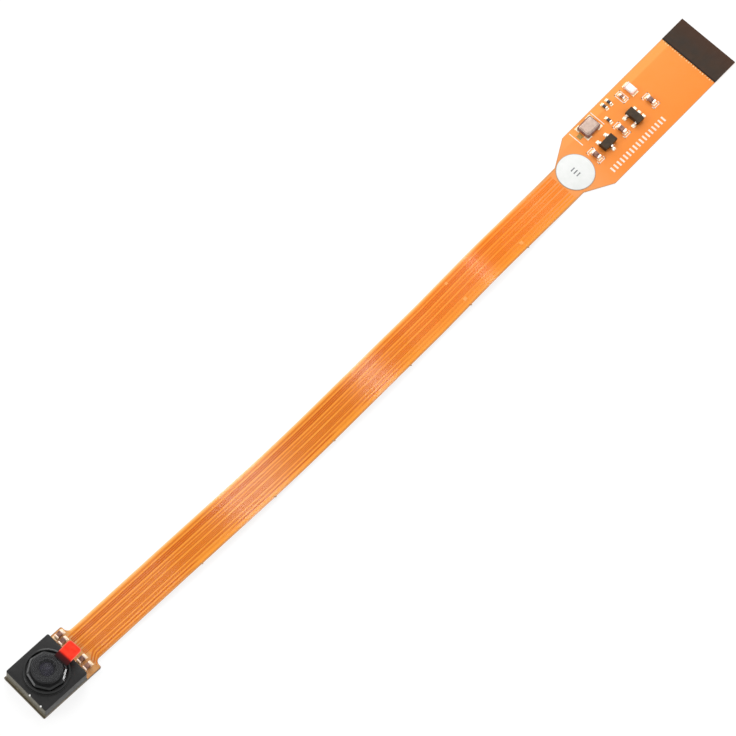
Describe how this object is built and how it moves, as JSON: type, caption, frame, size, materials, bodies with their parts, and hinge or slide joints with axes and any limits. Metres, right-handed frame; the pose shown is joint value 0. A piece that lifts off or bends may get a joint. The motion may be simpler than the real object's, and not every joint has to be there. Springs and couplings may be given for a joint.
{
  "type": "camera module",
  "caption": "Fixed-focus camera head in a square black housing on a long, narrow amber film circuit that flares into a plug-in contact tail with small circuit parts.",
  "frame": {"origin": "on the optical axis, at the underside of the head's stiffener plate", "axes": "+X along the film circuit from the head to the contact tail, +Z the way the lens looks, +Y to the left"},
  "size_m": [0.1596, 0.0155, 0.0055],
  "materials": {
    "amber_film": "glossy amber film",
    "film_copper": "copper under an amber cover",
    "gold_contact": "gold plated",
    "steel_plate": "brushed",
    "brown_stiffener": "matt dark brown",
    "black_moulding": "fine-grained matt black",
    "black_barrel": "satin black",
    "sensor_silicon": "polished silicon",
    "lens_clear": "clear, coated",
    "filter_glass": "pale blue-green coating",
    "clear_cover": "clear peel-off film",
    "red_tab": "bright red film",
    "tan_ceramic": "matt",
    "dark_ceramic": "matt",
    "tinned_metal": "dull tin",
    "solder_pad": "bright solder",
    "crystal_metal": "plated lid",
    "white_moulding": "white",
    "label_paper": "smooth white"
  },
  "bodies": {
    "root": {"film_circuit": "amber_film", "copper_traces": "film_copper", "contact_fingers": "gold_contact", "head_stiffener": "steel_plate", "contact_stiffener": "brown_stiffener", "lens_holder": "black_moulding", "image_sensor": "sensor_silicon", "bond_wires": "gold_contact", "ir_filter": "filter_glass", "lens_barrel": "black_barrel", "front_lens": "lens_clear", "second_lens": "lens_clear", "third_lens": "lens_clear", "aperture_stop": "black_barrel", "lens_spacer": "black_barrel", "lens_retainer": "black_barrel", "lens_cover_film": "clear_cover", "pull_tab": "red_tab", "head_capacitor_bodies": "tan_ceramic", "head_capacitor_ends": "tinned_metal", "head_solder_pads": "solder_pad", "tail_capacitor_bodies": "tan_ceramic", "tail_capacitor_ends": "tinned_metal", "left_capacitor_body": "tan_ceramic", "left_capacitor_ends": "tinned_metal", "resistor_bodies": "dark_ceramic", "resistor_ends": "tinned_metal", "light_chip_body": "white_moulding", "light_chip_ends": "tinned_metal", "five_pin_regulator_body": "black_moulding", "five_pin_regulator_leads": "tinned_metal", "three_pin_regulator_body": "black_moulding", "three_pin_regulator_leads": "tinned_metal", "crystal_case": "dark_ceramic", "crystal_lid": "crystal_metal", "tail_solder_pads": "solder_pad", "round_label": "label_paper"}
  },
  "joints": []
}
